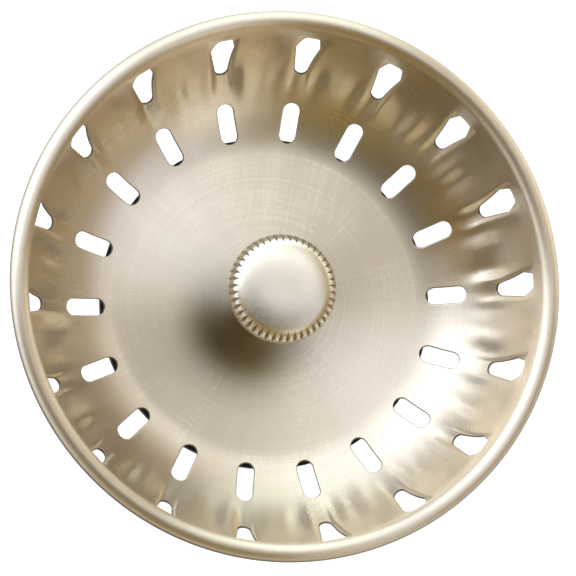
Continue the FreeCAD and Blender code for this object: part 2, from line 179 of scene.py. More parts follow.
# Stem, washers and plate
STEM_LOW, STEM_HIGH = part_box("stem")
SPIGOT_RADIUS = 2.0 * MM
SHANK_RADIUS = 2.6 * MM
COLLAR_RADIUS = STEM_HIGH.x
THREAD_RADIUS = 2.45 * MM
THREAD_PITCH = 0.8 * MM
THREAD_DEPTH = 0.35 * MM
THREAD_STEP = 0.1 * MM
THREAD_FADE = 0.6 * MM
FLOOR_WASHER_LOW, FLOOR_WASHER_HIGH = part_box("floor_washer")
COLLAR_TOP = FLOOR_WASHER_HIGH.z + 1.5 * MM
PLATE_LOW, PLATE_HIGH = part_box("stopper_backing_plate")
LOCK_WASHER_LOW, LOCK_WASHER_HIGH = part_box("lock_washer")
LOCK_WASHER_SPLIT = 0.8 * MM
LOCK_WASHER_SKEW = 0.4 * MM
SMALL_ROUND = 0.15 * MM
DIE_ROLL = 0.4 * MM

# Rubber stopper
STOPPER_LOW, STOPPER_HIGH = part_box("stopper")
STOPPER_EDGE_HEIGHT = 1.2 * MM
STOPPER_LIP_HEIGHT = 1.8 * MM
SEAT_INSET = 2.2 * MM
SEAT_WIDTH = 2.0 * MM
LIP_SLOPE = 1.5 * MM
RUBBER_ROUND = 0.25 * MM
FLASH_HEIGHT = 0.12 * MM
FLASH_REACH = 0.06 * MM

# Ball-lock post
POST_LOW, POST_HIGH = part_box("lock_post")
POST_RADIUS = 4.7 * MM
HEX_FLAT = 6.0 * MM
HEX_HEIGHT = 3.0 * MM
HEX_CHAMFER_RADIUS = 5.75 * MM
HEX_CHAMFER_SLOPE = math.tan(math.radians(30))
PIN_LENGTH = 7.0 * MM
GROOVE_WIDTH = 1.2 * MM
GROOVE_DEPTH = 0.5 * MM
TIP_LENGTH = 1.5 * MM
TIP_RADIUS = 3.2 * MM
TIP_ROUND = 0.5 * MM
POST_SOCKET_RADIUS = 2.55 * MM
POST_SOCKET_END = STEM_LOW.z - 0.4 * MM
BALL_LOW, BALL_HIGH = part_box("detent_ball_right")
BALL_RADIUS = (BALL_HIGH.z - BALL_LOW.z) / 2
BALL_OFFSET = BALL_HIGH.x - BALL_RADIUS
BALL_LEVEL = BALL_LOW.z + BALL_RADIUS
BORE_RADIUS = BALL_RADIUS + 0.05 * MM
MOUTH_RADIUS = 1.4 * MM
MOUTH_SLOPE = math.radians(24.4)
SEAT_RADIUS = BALL_RADIUS + 0.04 * MM
WIRE_RADIUS = 0.18 * MM
COIL_RADIUS = 1.25 * MM
COIL_TURNS = 5
COIL_GAP = 0.05 * MM

# Mesh steps of the turned pieces
TURNED_COLUMNS = 96
ARC_STEPS = 5
BALL_STEPS = 32
COIL_STEPS = 32
WIRE_STEPS = 14
SHARP_ANGLE = math.radians(32)

# Darker, rougher tone of cut edges, of the rim's crown and outer side and of the knob's notches and
# underside, as a share of the metal's darker tone; the darkening on the rim and under the knob is painted
# shade, in the notches grime and painted shade
DULL_AND_SHADE_SHARE = 0.28
DULL_ROUGHNESS = 0.35

# Tone of brushed metal: shares of its marks, streaks, clouds and hairlines, and the range that counts
MARK_SHARE = 0.4
STREAK_SHARE = 0.25
CLOUD_SHARE = 0.3
HAIRLINE_SHARE = 0.045
TONE_LOW, TONE_HIGH = 0.35, 0.65
STREAKS_AROUND, STREAKS_ACROSS = 45.0, 60.0
CLOUD_SCALE = 90.0
GROOVE_TURN = 0.25
SATIN_CLOUD_SCALE = 260.0

# Hairlines: direction, noise scale across, along and down, and scale of their bundles
SCRATCH_ANGLE = math.radians(14)
SCRATCH_SCALE = (2600, 12, 12)
SCRATCH_BUNDLES = 55.0

# Studio: a dim warm room, then soft boxes laid over it in turn; angles in degrees
SoftBox = namedtuple("SoftBox", "azimuth elevation reach core colour")
ROOM_TONE = (0.354, 0.234, 0.03, 1)
LOW_GLOW = SoftBox(27, 1, 36, 14, (2.2, 2.2, 2.05, 1))
CEILING = SoftBox(334.5, 66.5, 22.5, 8, (1.24, 1.32, 1.75, 1))
SKYLIGHT = SoftBox(58, 69, 20, 7, (2.2, 2.3, 2.65, 1))
LOW_WINDOW = SoftBox(78.8, 22.7, 29.9, 10.5, (2.61, 3.01, 3.3, 1))
SIDE_WINDOW = SoftBox(297, 41.5, 17.5, 6, (1.4, 1.4, 1.4, 1))
MAIN_WINDOW = SoftBox(155.9, 29.4, 71.6, 25, (2.41, 2.68, 3.3, 1))
ABOVE_CAMERA = SoftBox(244, 77.5, 33.5, 12, (0.18, 0.15, 0.05, 1))
BEHIND_CAMERA = SoftBox(198.5, 43.8, 32.5, 11.5, (0.27, 0.15, 0.01, 1))
PHOTOGRAPHER = SoftBox(222, 55, 20, 12, (0.2, 0.14, 0.03, 1))
ARMS = SoftBox(222, 70, 15, 8, (0.12, 0.085, 0.02, 1))
LENS = SoftBox(222, 84, 14, 8, (0.01, 0.008, 0.002, 1))
STUDIO = (LOW_GLOW, CEILING, SKYLIGHT, LOW_WINDOW, SIDE_WINDOW, MAIN_WINDOW,
          ABOVE_CAMERA, BEHIND_CAMERA, PHOTOGRAPHER, ARMS, LENS)

# Floor under the part: glow that makes it white, shade that keeps the shadow, and its own colour
STAGE_RADIUS = 4.0
STAGE_SIDES = 96
STAGE_GLOW = 0.88
STAGE_SHADE = (0.3, 0.3, 0.3, 1)
STAGE_COLOUR = (0.8, 0.8, 0.8, 1)

# Camera, fitted to the rim and both rings of holes: seen from a point above the cup
CAMERA_DISTANCE = 436.5 * MM
CAMERA_TILT = math.radians(12.056)
CAMERA_AZIMUTH = math.radians(217.86)
CAMERA_UP_AZIMUTH = math.radians(86.97)
CAMERA_LENS_MM = 189.66
SENSOR_MM = 36.0
FRAME_PIXELS = 576
RIM_CENTRE_PIXEL = (287.75, 283.03)


def profile(run):
    """Radius, height and inside normal of the sheet's inside face at distances along it."""
    corner = np.clip((run - CORNER_START) / CORNER_RADIUS, 0, math.pi / 2)
    bead = np.clip((run - WALL_END) / BEAD_RADIUS, 0, None)
    radius = HUB_HOLE_RADIUS + np.minimum(run, CORNER_START) + CORNER_RADIUS * np.sin(corner)
    climb = np.clip(run - CORNER_END, 0, WALL_END - CORNER_END)
    height = FLOOR_TOP + CORNER_RADIUS * (1 - np.cos(corner)) + climb
    normal_out, normal_up = -np.sin(corner), np.cos(corner)
    rolled = run > WALL_END
    radius = np.where(rolled, BEAD_CENTRE - BEAD_RADIUS * np.cos(bead), radius)
    height = np.where(rolled, RIM_LEVEL + BEAD_RADIUS * np.sin(bead), height)
    normal_out = np.where(rolled, -np.cos(bead), normal_out)
    normal_up = np.where(rolled, np.sin(bead), normal_up)
    return radius, height, normal_out, normal_up


def corner_arc(before, corner, after, steps):
    """Points of the arc that rounds one (x, y, fillet) corner of an outline."""
    here = np.array(corner[:2])
    back = np.array(before[:2]) - here
    ahead = np.array(after[:2]) - here
    back /= np.linalg.norm(back)
    ahead /= np.linalg.norm(ahead)
    fillet = corner[2]
    half = math.acos(np.clip(back @ ahead, -1, 1)) / 2
    bisector = (back + ahead) / np.linalg.norm(back + ahead)
    centre = here + bisector * fillet / math.sin(half)
    start, end = (here + way * fillet / math.tan(half) - centre for way in (back, ahead))
    sweep = math.copysign(math.pi - 2 * half, start[0] * end[1] - start[1] * end[0])
    turn = sweep * np.arange(steps + 1) / steps
    x = np.cos(turn) * start[0] - np.sin(turn) * start[1]
    y = np.sin(turn) * start[0] + np.cos(turn) * start[1]
    return centre + np.stack([x, y], axis=1)


def rounded_outline(corners, count, arc_weight=2.0, arc_steps=12):
    """Points round a closed outline of (x, y, fillet) corners, evenly spaced but closer on its arcs.

    The first point is halfway between the last corner and the first."""
    total = len(corners)
    points = np.vstack([corner_arc(corners[k - 1], corners[k], corners[(k + 1) % total], arc_steps)
                        for k in range(total)])
    weights = np.tile(np.append(1.0, np.full(arc_steps, arc_weight)), total)
    seam = (points[0] + points[-1]) / 2
    points = np.vstack([seam, points, seam])
    weights = np.append(weights, 1.0)
    lengths = np.linalg.norm(np.diff(points, axis=0), axis=1) * weights
    along = np.append(0, np.cumsum(lengths))
    wanted = np.arange(count) * along[-1] / count
    return np.stack([np.interp(wanted, along, points[:, axis]) for axis in (0, 1)], axis=1)


def rounded_section(corners, open_ends=False):
    """Points of a section of (radius, height, fillet) corners, with an arc at each fillet."""
    points = []
    for index, corner in enumerate(corners):
        ahead = corners[(index + 1) % len(corners)]
        at_end = open_ends and index in (0, len(corners) - 1)
        if corner[2] == 0 or at_end:
            points.append(corner[:2])
        else:
            points += corner_arc(corners[index - 1], corner, ahead, ARC_STEPS).tolist()
    return points


def slot_corners():
    end, side = SLOT_LENGTH / 2, SLOT_WIDTH / 2
    tip = side * FILLET_LIMIT
    return [(-end, side, tip), (end, side, tip), (end, -side, tip), (-end, -side, tip)]


def keyhole_corners():
    middle = KEYHOLE_MIDDLE
    top, bottom = middle + KEYHOLE_UPPER, middle - KEYHOLE_LOWER
    half = [
        (bottom, KEYHOLE_TIP_WIDTH / 2, KEYHOLE_TIP_ROUND),
        (middle, KEYHOLE_WIDTH / 2, KEYHOLE_SHOULDER_ROUND),
        (top, KEYHOLE_TOP_WIDTH / 2, KEYHOLE_TOP_ROUND),
    ]
    return half + [(x, -y, fillet) for x, y, fillet in reversed(half)]


class PunchedHole:
    """A hole punched square through the cup's corner, with its outline in the punch's plane."""

    def __init__(self, corner_angle, corners):
        self.slope = np.array((math.cos(corner_angle), 0, math.sin(corner_angle)))
        self.normal = np.array((-math.sin(corner_angle), 0, math.cos(corner_angle)))
        self.centre = np.array((FLOOR_RADIUS, 0, CORNER_LEVEL)) - CORNER_RADIUS * self.normal
        self.outline = rounded_outline(corners, 2 * (COLUMNS + PATCH_ROWS))
        tangent = np.roll(self.outline, -1, axis=0) - np.roll(self.outline, 1, axis=0)
        tangent /= np.linalg.norm(tangent, axis=1, keepdims=True)
        self.outward = np.stack([-tangent[:, 1], tangent[:, 0]], axis=1)
        if (self.outward * self.outline).sum() < 0:
            self.outward = -self.outward

    def edge(self, widen, depth):
        """Angle and run of the hole's edge, widened in its plane, at a depth in the sheet."""
        flat = self.outline + self.outward * widen
        start = self.centre + np.outer(flat[:, 0], self.slope) + np.outer(flat[:, 1], (0, 1, 0))
        lift = np.zeros(len(flat))
        for _ in range(EDGE_SEARCH_STEPS):
            point = start + np.outer(lift, self.normal)
            lift += depth_in_sheet(point) - depth
        return np.arctan2(point[:, 1], point[:, 0]), run_at(point)

    def place(self, angle, run):
        """Where points of the inside face lie in the punch's plane: up the sheet and across it."""
        radius, height, _, _ = profile(run)
        point = np.stack([radius * np.cos(angle), radius * np.sin(angle), height], axis=1) - self.centre
        return point @ self.slope, point[:, 1]


def depth_in_sheet(point):
    """How far points lie below the inside face of the cup's floor, corner or wall."""
    radius, height = np.hypot(point[:, 0], point[:, 1]), point[:, 2]
    corner = np.hypot(radius - FLOOR_RADIUS, height - CORNER_LEVEL) - CORNER_RADIUS
    depth = np.where(radius <= FLOOR_RADIUS, FLOOR_TOP - height, corner)
    return np.where(height >= CORNER_LEVEL, radius - WALL_RADIUS, depth)


def run_at(point):
    """Distance along the profile of points on or near the sheet."""
    radius, height = np.hypot(point[:, 0], point[:, 1]), point[:, 2]
    turned = np.arctan2(radius - FLOOR_RADIUS, CORNER_LEVEL - height)
    run = CORNER_START + CORNER_RADIUS * turned
    run = np.where(radius <= FLOOR_RADIUS, radius - HUB_HOLE_RADIUS, run)
    return np.where(height >= CORNER_LEVEL, CORNER_END + height - CORNER_LEVEL, run)


class SheetSector:
    """Mesh of one sector of the cup as (angle, run, depth) points and faces between them."""

    def __init__(self):
        self.points, self.known, self.faces, self.cut = [], {}, [], set()

    def point(self, angle, run, depth):
        key = (round(angle, 6), round(run, 8), round(depth, 8))
        if key not in self.known:
            self.known[key] = len(self.points)
            self.points.append((angle, run, depth))
        return self.known[key]

    def row(self, run, depth):
        return [self.point(SECTOR * (k / COLUMNS - 0.5), run, depth) for k in range(COLUMNS + 1)]

    def bridge(self, first, second, closed=False):
        count = len(first)
        for k in range(count if closed else count - 1):
            ahead = (k + 1) % count
            self.faces.append((first[k], second[k], second[ahead], first[ahead]))

    def strip(self, runs, depth):
        rows = [self.row(run, depth) for run in runs]
        for low, high in zip(rows, rows[1:]):
            self.bridge(low, high)

    def frame_points(self, low, high):
        """Angle and run round the edge of a patch, from the middle of its low side."""
        half = SECTOR / 2
        across = np.linspace(-half, half, COLUMNS + 1)
        up = np.linspace(low, high, PATCH_ROWS + 1)
        middle = COLUMNS // 2
        angle = np.concatenate([across[middle:-1], np.full(PATCH_ROWS, half), across[:0:-1],
                                np.full(PATCH_ROWS, -half), across[:middle]])
        run = np.concatenate([np.full(COLUMNS - middle, low), up[:-1], np.full(COLUMNS, high),
                              up[:0:-1], np.full(middle, low)])
        return angle, run

    def patch(self, low, high, hole):
        """Both faces of the sheet round a hole, the outer one dished to the hole's thin edge."""
        frame_angle, frame_run = self.frame_points(low, high)
        for widen, edge_depth, depth in ((EDGE_ROUND, 0.0, 0.0), (0.0, HOLE_EDGE, SHEET)):
            edge_angle, edge_run = hole.edge(widen, edge_depth)
            previous = None
            for step in range(PATCH_RINGS + 1):
                share = (step / PATCH_RINGS) ** RING_CROWDING
                angle = edge_angle + (frame_angle - edge_angle) * share
                run = edge_run + (frame_run - edge_run) * share
                level = depth + (edge_depth - depth) * max(0.0, 1 - share / COIN_SHARE)
                ring = [self.point(a, r, level) for a, r in zip(angle, run)]
                if previous:
                    self.bridge(previous, ring, closed=True)
                previous = ring
        turn = math.radians(45)
        wall = [
            (EDGE_ROUND, 0.0),
            (EDGE_ROUND * (1 - math.sin(turn)), EDGE_ROUND * (1 - math.cos(turn))),
            (0.0, EDGE_ROUND),
            (0.0, HOLE_EDGE),
        ]
        rings = []
        for widen, depth in wall:
            rings.append([self.point(a, r, depth) for a, r in zip(*hole.edge(widen, depth))])
        for upper, lower in zip(rings, rings[1:]):
            self.bridge(upper, lower, closed=True)
            self.cut.update(lower)


def smooth_step(value):
    value = np.clip(value, 0, 1)
    return value * value * (3 - 2 * value)


def trough(up, across):
    """How far the punch drew the sheet out round a keyhole, from 0 to 1: a lane past both its ends."""
    middle = KEYHOLE_MIDDLE
    top, tip = middle + KEYHOLE_UPPER, middle - KEYHOLE_LOWER
    narrowing = np.clip((middle - up) / KEYHOLE_LOWER, 0, 1)
    half = KEYHOLE_WIDTH / 2 + (TROUGH_TIP_WIDTH - KEYHOLE_WIDTH / 2) * narrowing + TROUGH_MARGIN
    flank = smooth_step(1 - (np.abs(across) - half) / TROUGH_FLANK)
    above = smooth_step(1 - (up - top) / TROUGH_ABOVE)
    below = smooth_step(1 - (tip - up) / TROUGH_BELOW)
    return flank * above * below


def make_basket():
    """The pressed cup: all sectors of the sheet, drawn out a little round each upper hole."""
    slot = PunchedHole(SLOT_ANGLE, slot_corners())
    keyhole = PunchedHole(KEYHOLE_ANGLE, keyhole_corners())
    slot_middle = CORNER_START + CORNER_RADIUS * SLOT_ANGLE
    keyhole_middle = CORNER_START + CORNER_RADIUS * KEYHOLE_ANGLE
    slot_end = slot_middle + SLOT_LENGTH / 2
    tip = keyhole_middle - KEYHOLE_LOWER
    patch_start = slot_middle - SLOT_LENGTH / 2 - PATCH_MARGIN
    patch_change = (slot_end + tip) / 2 + PATCH_SHIFT
    patch_end = keyhole_middle + KEYHOLE_UPPER + 2 * PATCH_MARGIN
    sector = SheetSector()
    for depth in (0.0, SHEET):
        sector.strip(np.linspace(0, patch_start, FLOOR_ROWS), depth)
        sector.strip(np.linspace(patch_end, WALL_END, 3), depth)
        sector.strip(np.linspace(WALL_END, SHEET_END, BEAD_ROWS), depth)
    sector.patch(patch_start, patch_change, slot)
    sector.patch(patch_change, patch_end, keyhole)
    for run in (0.0, SHEET_END):
        sector.bridge(sector.row(run, 0.0), sector.row(run, SHEET))
    angle, run, depth = np.array(sector.points).T
    up, across = keyhole.place(angle, run)
    rolled = (run - WALL_END) / BEAD_RADIUS
    # Bead crown rougher and darkened to dim its highlight, painted shade; bead's outer side painted dark,
    # painted shade; cut edges rougher and darker
    crown_satin_and_shade = BEAD_SATIN_AND_SHADE * np.clip(rolled / BEAD_SATIN_AND_SHADE_START, 0, 1)
    outer = np.clip((rolled - BEAD_OUTLINE_SHADE_START) / (BEAD_OUTLINE_SHADE_END - BEAD_OUTLINE_SHADE_START), 0, 1)
    dull_and_shade = np.maximum(crown_satin_and_shade, outer)
    dull_and_shade[list(sector.cut)] = 1
    dice = random.Random(TROUGH_SEED)
    vertices, faces = [], []
    for index in range(HOLE_COUNT):
        turned = angle + SECTOR * index
        drawn = TROUGH_DEPTH * (1 + TROUGH_SPREAD * dice.uniform(-1, 1))
        lift = sheet_waves(turned, run, tip) - drawn * trough(up, across) - depth
        radius, height, normal_out, normal_up = profile(run)
        radius = radius + normal_out * lift
        height = height + normal_up * lift
        faces += [tuple(k + len(vertices) for k in face) for face in sector.faces]
        vertices += np.stack([radius * np.cos(turned), radius * np.sin(turned), height], axis=1).tolist()
    piece = mesh_piece("basket_sheet", vertices, faces, merge=True, dull_and_shade=np.tile(dull_and_shade, HOLE_COUNT))
    return dress(piece, "strainer", "cup_steel", "basket")


def ripples(angle, run, kinds):
    """Sum of waves that run round the cup and slant along its sheet."""
    return sum(kind.share * np.sin(kind.count * angle + kind.phase + kind.slant * run) for kind in kinds)


def sheet_waves(angle, run, tip):
    """Slight waves that pressing leaves in the wall, strongest at the level of the keyholes' tips."""
    rise = np.clip((run - CORNER_START) / (CORNER_END - CORNER_START), 0, 1)
    fade = np.clip((WALL_END - run) / WAVE_FADE, 0, 1)
    standing = np.sin(STANDING_WAVE.count * angle + STANDING_WAVE.phase) * np.cos(STANDING_WAVE.slant * run)
    waves = standing + ripples(angle, run, WALL_RIPPLES)
    level = np.exp(-((run - tip) / PUCKER_REACH) ** 2)
    return WAVE_HEIGHT * rise * fade * waves + PUCKER_HEIGHT * level * ripples(angle, run, PUCKERS)


def mesh_piece(name, vertices, faces, merge=False, dull_and_shade=None):
    """A smooth-shaded mesh object with its faces turned outwards, dull and painted with shade where its
    points say so.
    """
    mesh = bpy.data.meshes.new(name)
    mesh.from_pydata(vertices, [], faces)
    if dull_and_shade is not None:
        mesh.attributes.new("dull_and_shade", "FLOAT", "POINT").data.foreach_set("value", dull_and_shade)
    work = bmesh.new()
    work.from_mesh(mesh)
    if merge:
        bmesh.ops.remove_doubles(work, verts=work.verts, dist=MERGE_DISTANCE)
    bmesh.ops.recalc_face_normals(work, faces=work.faces)
    for face in work.faces:
        face.smooth = True
    work.to_mesh(mesh)
    work.free()
    piece = bpy.data.objects.new(name, mesh)
    bpy.context.scene.collection.objects.link(piece)
    return piece


def ring_mesh(name, rings, closed=False, pressed=(), dull_and_shade=None):
    """A mesh between rings of points; a ring of one point closes an end.

    A quad with a single corner among the pressed points is split beside it, so the press keeps its edge."""
    vertices, rows, faces = [], [], []
    count = max(len(ring) for ring in rings)
    for ring in rings:
        first = len(vertices)
        vertices += [tuple(point) for point in ring]
        rows.append([first] * count if len(ring) == 1 else list(range(first, first + count)))
    pairs = list(zip(rows, rows[1:]))
    if closed:
        pairs.append((rows[-1], rows[0]))
    for upper, lower in pairs:
        for k in range(count):
            ahead = (k + 1) % count
            corners = list(dict.fromkeys((upper[k], lower[k], lower[ahead], upper[ahead])))
            deep = [place for place, corner in enumerate(corners) if corner in pressed]
            if len(corners) == 4 and len(deep) == 1:
                corners = corners[deep[0]:] + corners[:deep[0]]
                faces.append((corners[0], corners[1], corners[3]))
                faces.append((corners[1], corners[2], corners[3]))
            elif len(corners) > 2:
                faces.append(tuple(corners))
    return mesh_piece(name, vertices, faces, dull_and_shade=dull_and_shade)


def crisp(piece):
    """Keeps sharp edges sharp and flats flat under smooth shading."""
    piece.data.set_sharp_from_angle(angle=SHARP_ANGLE)
    even = piece.modifiers.new("even_flats", "WEIGHTED_NORMAL")
    even.keep_sharp = True
    return piece


def circle(radius, height, angles):
    """Points at a radius, or at one radius for each angle, round the axis."""
    radius = np.broadcast_to(radius, angles.shape)
    height = np.broadcast_to(height, angles.shape)
    return np.stack([radius * np.cos(angles), radius * np.sin(angles), height], axis=1)


def even_angles(columns):
    return 2 * math.pi * np.arange(columns) / columns


def turned_rings(section, columns=TURNED_COLUMNS):
    """Rings round the axis for each (radius, height) point of a section."""
    angles = even_angles(columns)
    return [circle(radius, height, angles) if radius else [(0, 0, height)] for radius, height in section]


def dress(piece, body, slot, *nodes):
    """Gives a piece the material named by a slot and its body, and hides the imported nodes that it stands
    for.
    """
    piece.data.materials.clear()
    piece.data.materials.append(MATERIALS[slot])
    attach(piece, body)
    if nodes:
        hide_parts(*nodes)
    return piece


def knob_side(top):
    """Points from the end of the knob's crowned face over its rounded edge and down the skirt."""
    slope = KNOB_CROWN * KNOB_CROWN_POWER / KNOB_FACE_RADIUS
    lean = math.atan(slope)
    width = KNOB_RADIUS - KNOB_FACE_RADIUS
    fillet = width / math.cos(lean) * math.tan(math.pi / 4 + lean / 2)
    face = (KNOB_FACE_RADIUS, top - KNOB_CROWN)
    skirt = (KNOB_RADIUS, top - KNOB_SKIRT_DEPTH)
    corner = (KNOB_RADIUS, face[1] - slope * width, fillet)
    return np.vstack([corner_arc(face, corner, skirt, 4 * ARC_STEPS), skirt])


def knob_underside(skirt):
    """Points from the skirt's lower edge through the recess and round the hub to the socket's top."""
    bottom = skirt - KNOB_LOWER_BEVEL
    recess = bottom + KNOB_RECESS_DEPTH
    foot = KNOB_LOW.z
    soft = KNOB_INNER_ROUND
    return rounded_section([
        (KNOB_RADIUS, skirt, 0),
        (KNOB_RADIUS - KNOB_LOWER_BEVEL, bottom, SMALL_ROUND),
        (KNOB_RECESS_RADIUS, bottom, SMALL_ROUND),
        (KNOB_RECESS_RADIUS, recess, soft),
        (KNOB_HUB_RADIUS, recess, soft),
        (KNOB_HUB_FOOT_RADIUS, foot, SMALL_ROUND),
        (KNOB_SOCKET_RADIUS, foot, SMALL_ROUND),
        (KNOB_SOCKET_RADIUS, foot + KNOB_SOCKET_DEPTH, 0),
        (0, foot + KNOB_SOCKET_DEPTH, 0),
    ], open_ends=True)[1:]


def make_knob():
    """Cast knob with a diamond pit at each notch of its rounded edge."""
    top = KNOB_HIGH.z
    side = knob_side(top)
    notch_angle = NOTCH_WIDTH / 2 / KNOB_RADIUS
    across = np.arange(-NOTCH_STEPS, NOTCH_STEPS + 1) / NOTCH_STEPS
    sector = np.append(-math.pi / NOTCH_COUNT, across * notch_angle)
    angles = (even_angles(NOTCH_COUNT)[:, None] + sector).ravel()
    share = np.tile(np.append(1.0, np.abs(across)), NOTCH_COUNT)
    radii = side[0, 0] * np.sin(np.linspace(0, math.pi / 2, KNOB_FACE_STEPS))[1:-1]
    rings = [[(0, 0, top)]]
    for radius in radii:
        crown = KNOB_CROWN * (radius / KNOB_FACE_RADIUS) ** KNOB_CROWN_POWER
        rings.append(circle(radius, top - crown, angles))
    along = np.append(0, np.cumsum(np.linalg.norm(np.diff(side, axis=0), axis=1)))
    down = np.linspace(0, along[-1], SKIRT_ROWS + 1)
    rows = np.stack([np.interp(down, along, side[:, axis]) for axis in (0, 1)], axis=1)
    ahead = np.gradient(rows, axis=0)
    ahead /= np.linalg.norm(ahead, axis=1, keepdims=True)
    pressed = set()
    dull_and_shade = [np.zeros(len(ring)) for ring in rings]
    for row, ((radius, height), (ahead_out, ahead_up)) in enumerate(zip(rows, ahead)):
        deep = np.clip(1 - share - abs(row - NOTCH_MIDDLE) / NOTCH_STEPS, 0, None) * NOTCH_DEPTH
        first = sum(len(ring) for ring in rings)
        pressed.update(first + spot for spot in np.flatnonzero(deep > NOTCH_LEAST))
        # Notch pits darkened: grime and painted shade
        dull_and_shade.append(np.where(deep > NOTCH_LEAST, NOTCH_GRIME_AND_SHADE, 0.0))
        rings.append(circle(radius + deep * ahead_up, height - deep * ahead_out, angles))
    under = [circle(r, h, angles) if r else [(0, 0, h)] for r, h in knob_underside(side[-1, 1])]
    # Underside darkened as painted shade, and rougher
    dull_and_shade += [np.full(len(ring), KNOB_UNDERSIDE_SHADE) for ring in under]
    piece = crisp(ring_mesh("knob_cast", rings + under, pressed=pressed, dull_and_shade=np.concatenate(dull_and_shade)))
    return dress(piece, "strainer", "knob_nickel", "knob")


def thread_ring(height, angles):
    """One ring of the stem's threaded tail: a blunt ridge that runs out at both ends."""
    phase = (height / THREAD_PITCH + angles / (2 * math.pi)) % 1
    ridge = np.clip(2 * np.abs(2 * phase - 1) - 0.5, 0, 1)
    fade = min(1.0, (FLOOR_WASHER_HIGH.z - height) / THREAD_FADE)
    radius = THREAD_RADIUS - THREAD_DEPTH * (1 - ridge) * fade
    return circle(np.minimum(radius, THREAD_RADIUS - THREAD_FADE + height - STEM_LOW.z), height, angles)


def make_stem():
    """Turned stem: spigot in the knob, shank, collar on the washer and threaded tail."""
    shank_top = KNOB_LOW.z
    upper = rounded_section([
        (0, STEM_HIGH.z, 0),
        (SPIGOT_RADIUS, STEM_HIGH.z, SMALL_ROUND),
        (SPIGOT_RADIUS, shank_top, 0),
        (SHANK_RADIUS, shank_top, SMALL_ROUND),
        (SHANK_RADIUS, COLLAR_TOP, SMALL_ROUND),
        (COLLAR_RADIUS, COLLAR_TOP, SMALL_ROUND),
        (COLLAR_RADIUS, FLOOR_WASHER_HIGH.z, SMALL_ROUND),
        (THREAD_RADIUS, FLOOR_WASHER_HIGH.z, 0),
    ], open_ends=True)
    angles = even_angles(TURNED_COLUMNS)
    tail = np.arange(FLOOR_WASHER_HIGH.z - THREAD_STEP, STEM_LOW.z, -THREAD_STEP)
    rings = turned_rings(upper) + [thread_ring(height, angles) for height in tail]
    rings += [thread_ring(STEM_LOW.z, angles), [(0, 0, STEM_LOW.z)]]
    return dress(crisp(ring_mesh("stem_turned", rings)), "strainer", "turned_steel", "stem")


def flat_ring(name, low, high, rounds):
    """A flat ring between a node's box heights, with fillets at its outer lower and upper edges."""
    lower, upper = rounds
    section = rounded_section([
        (HUB_HOLE_RADIUS, low.z, SMALL_ROUND),
        (high.x, low.z, lower),
        (high.x, high.z, upper),
        (HUB_HOLE_RADIUS, high.z, SMALL_ROUND),
    ])
    return crisp(ring_mesh(name, turned_rings(section), closed=True))


def make_stopper():
    """Moulded rubber stopper: upright edge with a flash line, slanted flank, sealing lip and hollow."""
    edge = STOPPER_HIGH.x
    parting = STOPPER_HIGH.z - STOPPER_EDGE_HEIGHT
    lip_outer = edge - SEAT_INSET
    lip_inner = lip_outer - SEAT_WIDTH
    hollow = STOPPER_LOW.z + STOPPER_LIP_HEIGHT
    section = rounded_section([
        (HUB_HOLE_RADIUS, STOPPER_HIGH.z, SMALL_ROUND),
        (edge - FLASH_REACH, STOPPER_HIGH.z, RUBBER_ROUND),
        (edge - FLASH_REACH, parting + FLASH_HEIGHT, 0),
        (edge, parting + FLASH_HEIGHT / 2, 0),
        (edge - FLASH_REACH, parting, 0),
        (lip_outer, STOPPER_LOW.z, RUBBER_ROUND),
        (lip_inner, STOPPER_LOW.z, RUBBER_ROUND),
        (lip_inner - LIP_SLOPE, hollow, RUBBER_ROUND),
        (HUB_HOLE_RADIUS, hollow, SMALL_ROUND),
    ])
    piece = crisp(ring_mesh("stopper_rubber", turned_rings(section), closed=True))
    return dress(piece, "strainer", "black_rubber", "stopper")


def make_lock_washer():
    """Split spring washer with a slanted gap on its -X side."""
    low, high = LOCK_WASHER_LOW.z, LOCK_WASHER_HIGH.z
    outer = LOCK_WASHER_HIGH.x
    section = np.array(rounded_section([
        (HUB_HOLE_RADIUS, low, SMALL_ROUND),
        (outer, low, SMALL_ROUND),
        (outer, high, SMALL_ROUND),
        (HUB_HOLE_RADIUS, high, SMALL_ROUND),
    ]))
    radius, height = section.T
    lean = LOCK_WASHER_SKEW * (2 * (height - low) / (high - low) - 1)
    start = math.pi - np.arcsin((lean - LOCK_WASHER_SPLIT / 2) / radius)
    end = 3 * math.pi - np.arcsin((lean + LOCK_WASHER_SPLIT / 2) / radius)
    rings = []
    for share in np.arange(TURNED_COLUMNS + 1) / TURNED_COLUMNS:
        angle = start + (end - start) * share
        rings.append(np.stack([radius * np.cos(angle), radius * np.sin(angle), height], axis=1))
    rings = [[rings[0].mean(axis=0)]] + rings + [[rings[-1].mean(axis=0)]]
    return dress(crisp(ring_mesh("lock_washer_split", rings)), "strainer", "plate_steel", "lock_washer")


def drill(piece, cutter):
    """Cuts one mesh out of another for good and removes the cutter."""
    cut = piece.modifiers.new("drill", "BOOLEAN")
    cut.operation = "DIFFERENCE"
    cut.solver = "EXACT"
    cut.object = cutter
    graph = bpy.context.evaluated_depsgraph_get()
    drilled = bpy.data.meshes.new_from_object(piece.evaluated_get(graph))
    piece.modifiers.clear()
    piece.data = drilled
    bpy.data.objects.remove(cutter)
    return piece


